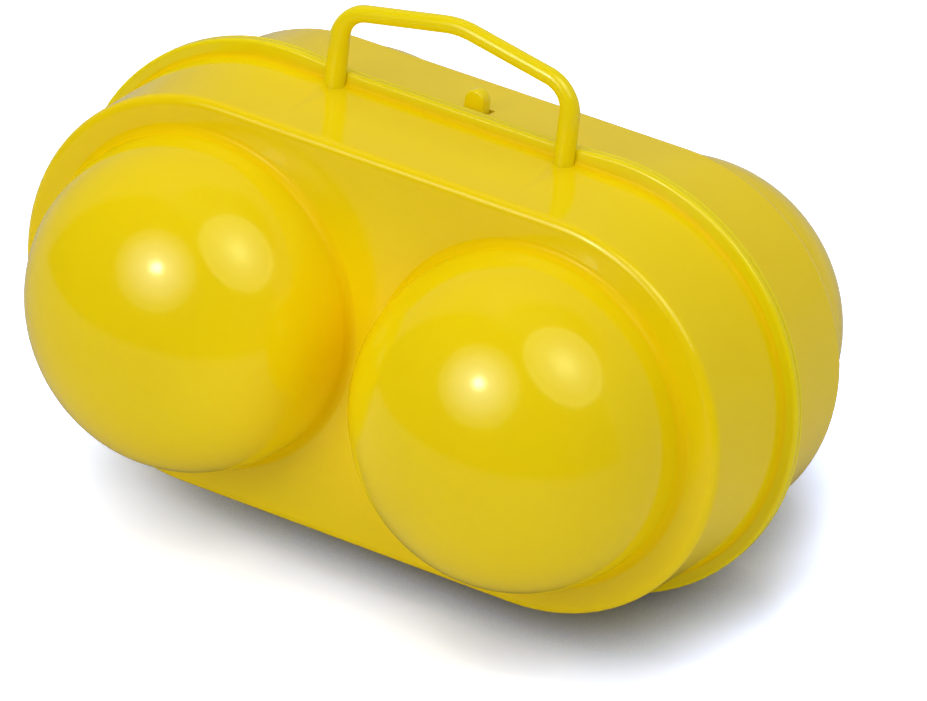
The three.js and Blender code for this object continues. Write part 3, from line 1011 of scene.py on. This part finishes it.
# Half the length of the line that the case stands along, and how far from it the paper is near and far;
# the painted light close to the case fades out between these
STAND = (0.026, 0.0, 0.0)
NEAR_EDGE, FAR_EDGE = 0.028, 0.062
# How far a nook's painted shade reaches, and the power that deepens it: in the middle, and more for each
# metre to the right
NOOK_REACH = 0.013
NOOK_DEPTH, NOOK_SLOPE = 0.74, 7.0
# How bright the room is as a light, and how bright the gloss shows it in front of and behind the case
ROOM_LIGHT = 0.5
ROOM_IN_GLOSS = 0.02
BACKDROP_IN_GLOSS = 0.30
# Where the backdrop starts behind the case and ends above it, as parts of the way looked, and how
# much lower it ends for each part to the right
BACKDROP_START = (-0.03, 0.06)
BACKDROP_TOP = (0.82, 0.88)
BACKDROP_SLOPE = 0.3


def kinds_of_ray(finish):
    """Whether a ray comes from the camera, from gloss and through glass, as 0 or 1 each."""
    rays = finish.split("ShaderNodeLightPath")
    return rays["Is Camera Ray"], rays["Is Glossy Ray"], rays["Is Transmission Ray"]


def build_floor(finish):
    """Pale paper, brighter to the camera than it lights the case, with painted light close to the case
    and a painted shade in the nook under it.
    """
    camera, glossy, passed = kinds_of_ray(finish)
    place = finish.node("ShaderNodeTexCoord", output=3)
    past = finish.node("ShaderNodeVectorMath", {"operation": "ABSOLUTE"}, {0: place})
    past = finish.node("ShaderNodeVectorMath", {"operation": "SUBTRACT"}, {0: past, 1: STAND})
    past = finish.node("ShaderNodeVectorMath", {"operation": "MAXIMUM"}, {0: past, 1: BLACK})
    away = finish.node("ShaderNodeVectorMath", {"operation": "LENGTH"}, {0: past}, output=1)
    near = 1 - finish.ramp(away, NEAR_EDGE, FAR_EDGE)
    fibres = finish.noise(place, 900.0, 3.0)
    # Painted shade: the paper darkens in the nooks under the case, more to the right
    nook = finish.node("ShaderNodeAmbientOcclusion", {"samples": 8}, {"Distance": NOOK_REACH}, output=1)
    depth = NOOK_DEPTH + finish.split("ShaderNodeSeparateXYZ", {"Vector": place})["X"] * NOOK_SLOPE
    nook = finish.node("ShaderNodeMath", {"operation": "POWER"}, {0: nook, 1: depth})
    plain = finish.mixed(fibres * 0.04, studio().floor_colour, FIBRES)
    # The gloss sees the paper with the same painted shade in its nooks
    plain = finish.mixed(glossy + passed, plain, finish.mixed(nook, BLACK, GLOSS_NOOK))
    # Painted light: brighter and bluer close to the case, against its shade and the yellow light of the
    # plastic
    seen = finish.mixed(near, SEEN_FAR, SEEN_NEAR_PAINTED_LIGHT)
    seen = finish.mixed(fibres * 0.05, seen, SEEN_FIBRES)
    # Painted shade in the nooks, as the camera sees the paper
    seen = finish.mixed(nook, BLACK, seen)
    paper = finish.mixed(camera, plain, seen)
    surface = finish.node("ShaderNodeBsdfDiffuse", {}, {"Color": paper})
    finish.node("ShaderNodeOutputMaterial", {}, {"Surface": surface})


def build_world(finish):
    """White to the camera; to the gloss a pale backdrop behind the case and a dim room in front."""
    camera, glossy, passed = kinds_of_ray(finish)
    way = finish.node("ShaderNodeTexCoord", output=0)
    way = finish.split("ShaderNodeSeparateXYZ", {"Vector": way})
    behind = finish.ramp(way["Y"], *BACKDROP_START)
    above = finish.ramp(way["Z"] + way["X"] * BACKDROP_SLOPE, *BACKDROP_TOP)
    shown = ROOM_IN_GLOSS + behind * (1 - above) * BACKDROP_IN_GLOSS
    level = finish.node(
        "ShaderNodeMix", {"data_type": "FLOAT"}, {0: glossy + passed, 2: ROOM_LIGHT, 3: shown}
    )
    level = finish.node("ShaderNodeMix", {"data_type": "FLOAT"}, {0: camera, 2: level, 3: 1.0})
    sky = finish.node("ShaderNodeBackground", {}, {"Color": (1.0, 1.0, 1.0, 1.0), "Strength": level})
    finish.node("ShaderNodeOutputWorld", {}, {"Surface": sky})


# Each lamp's name, azimuth and elevation, whether it shows in the gloss and lights what is matt, and
# the rings that make it brighter towards its middle: how many degrees a ring reaches, and what it adds
LAMPS = (
    ("key_lamp", -14.0, 38.5, True, True, ((22.0, 0.62), (17.0, 0.95), (12.5, 1.05), (8.0, 1.4))),
    ("key_heart", -14.0, 38.5, True, False,
     ((24.5, 2.2), (20.0, 2.4), (16.0, 2.9), (11.0, 3.8), (6.5, 5.0), (3.2, 46.0))),
    ("fill_lamp", 76.0, 58.0, True, True, ((22.0, 0.3), (16.0, 0.3))),
    ("fill_heart", 76.0, 58.0, True, False,
     ((26.5, 2.9), (21.0, 2.4), (16.5, 2.1), (11.5, 2.2), (6.0, 2.8))),
    ("side_fill", 72.0, 15.0, False, True, ((25.0, 0.4),)),
    ("top_lamp", -148.0, 72.0, False, True, ((24.0, 1.95),)),
)
# The colour of a lamp that lights, and of one that only shows in the gloss, as the highlights have it
LAMP_WHITE = (1.0, 1.0, 1.0)
GLOSS_TINT = (0.78, 1.0, 0.5)
# How much nearer each ring of a lamp hangs than the one before, and how far the floor is under the case
RING_STEP = 0.002
FLOOR_DROP = 0.00001


def direction(azimuth, elevation):
    """The way to something that is seen from the case at that turn and height."""
    level = math.cos(elevation)
    return Vector((math.sin(azimuth) * level, -math.cos(azimuth) * level, math.sin(elevation)))


def add_lamp(name, azimuth, elevation, shows, lights, rings, middle):
    """A round soft lamp aimed at the case, brighter towards its middle."""
    out = direction(math.radians(azimuth), math.radians(elevation))
    for k, (reach, brightness) in enumerate(rings):
        distance = studio().lamp_distance - RING_STEP * k
        radius = distance * math.tan(math.radians(reach))
        lamp = bpy.data.lights.new(name, "AREA")
        lamp.shape = "DISK"
        lamp.size = 2 * radius
        lamp.color = LAMP_WHITE if lights else GLOSS_TINT
        lamp.energy = brightness * (math.pi * radius) ** 2
        holder = bpy.data.objects.new("%s_%d" % (name, k), lamp)
        holder.location = middle + out * distance
        holder.rotation_euler = out.to_track_quat("Z", "Y").to_euler()
        holder.visible_camera = False
        holder.visible_glossy = shows
        holder.visible_diffuse = lights
        bpy.context.scene.collection.objects.link(holder)


def add_camera(scene, seam):
    """The photograph's camera, aimed a little below and to the right of the seam's middle."""
    st = studio()
    back = direction(st.view_azimuth, st.view_elevation)
    right = Vector((math.cos(st.view_azimuth), math.sin(st.view_azimuth), 0))
    place = seam + back * st.view_distance
    aim = seam + right * st.aim_right - back.cross(right) * st.aim_down
    camera = bpy.data.cameras.new("camera")
    camera.lens = st.focal_length
    camera.sensor_width = 36.0
    camera.clip_start = 0.01
    camera.clip_end = 20.0
    holder = bpy.data.objects.new("camera", camera)
    holder.location = place
    holder.rotation_euler = (place - aim).to_track_quat("Z", "Y").to_euler()
    scene.collection.objects.link(holder)
    scene.camera = holder


class EGGCASE_OT_studio(bpy.types.Operator):
    """Build the pale floor, the soft lamps, the world and the camera"""

    bl_idname = "egg_case.studio"
    bl_label = "Studio"

    def execute(self, context):
        scene = context.scene
        st = studio()
        bm = bmesh.new()
        bmesh.ops.create_circle(bm, cap_ends=True, segments=st.round_steps, radius=st.floor_radius)
        floor = bpy.data.objects.new("pale_floor", mesh_from(bm, "pale_floor"))
        floor.location = (0, st.floor_radius - st.floor_front, -FLOOR_DROP)
        floor.data.materials.append(kept_material("pale paper", build_floor))
        scene.collection.objects.link(floor)

        world = bpy.data.worlds.new("pale studio")
        world.use_nodes = True
        build_world(Finish(world.node_tree))
        scene.world = world

        seam = Layout().standing() @ Vector((0, 0, 0))
        for lamp in LAMPS:
            add_lamp(*lamp, seam)
        add_camera(scene, seam)
        scene.view_settings.view_transform = "Standard"
        return {"FINISHED"}


# Panel, registration and the build


class EGGCASE_PT_panel(bpy.types.Panel):
    """The case's pieces and settings"""

    bl_idname = "EGGCASE_PT_panel"
    bl_label = "Egg carrying case"
    bl_space_type = "VIEW_3D"
    bl_region_type = "UI"
    bl_category = "Egg case"

    def draw(self, context):
        for piece in PIECES:
            self.layout.operator(piece.bl_idname)
        for settings in (sizes(), finish_settings(), studio()):
            box = self.layout.box()
            for key in settings.__annotations__:
                box.prop(settings, key)


PIECES = (
    EGGCASE_OT_studio,
    EGGCASE_OT_rear_shell,
    EGGCASE_OT_front_shell,
    EGGCASE_OT_handle,
    EGGCASE_OT_latch,
    EGGCASE_OT_hinge_pins,
)
CLASSES = (CaseSizes, CaseFinish, StudioSettings, *PIECES, EGGCASE_PT_panel)


def register():
    for kind in CLASSES:
        bpy.utils.register_class(kind)
    bpy.types.Scene.egg_case_sizes = PointerProperty(type=CaseSizes)
    bpy.types.Scene.egg_case_finish = PointerProperty(type=CaseFinish)
    bpy.types.Scene.egg_case_studio = PointerProperty(type=StudioSettings)


def unregister():
    del bpy.types.Scene.egg_case_studio
    del bpy.types.Scene.egg_case_finish
    del bpy.types.Scene.egg_case_sizes
    for kind in reversed(CLASSES):
        bpy.utils.unregister_class(kind)


def main():
    register()
    for piece in PIECES:
        group, name = piece.bl_idname.split(".")
        getattr(getattr(bpy.ops, group), name)()


if __name__ == "__main__":
    main()
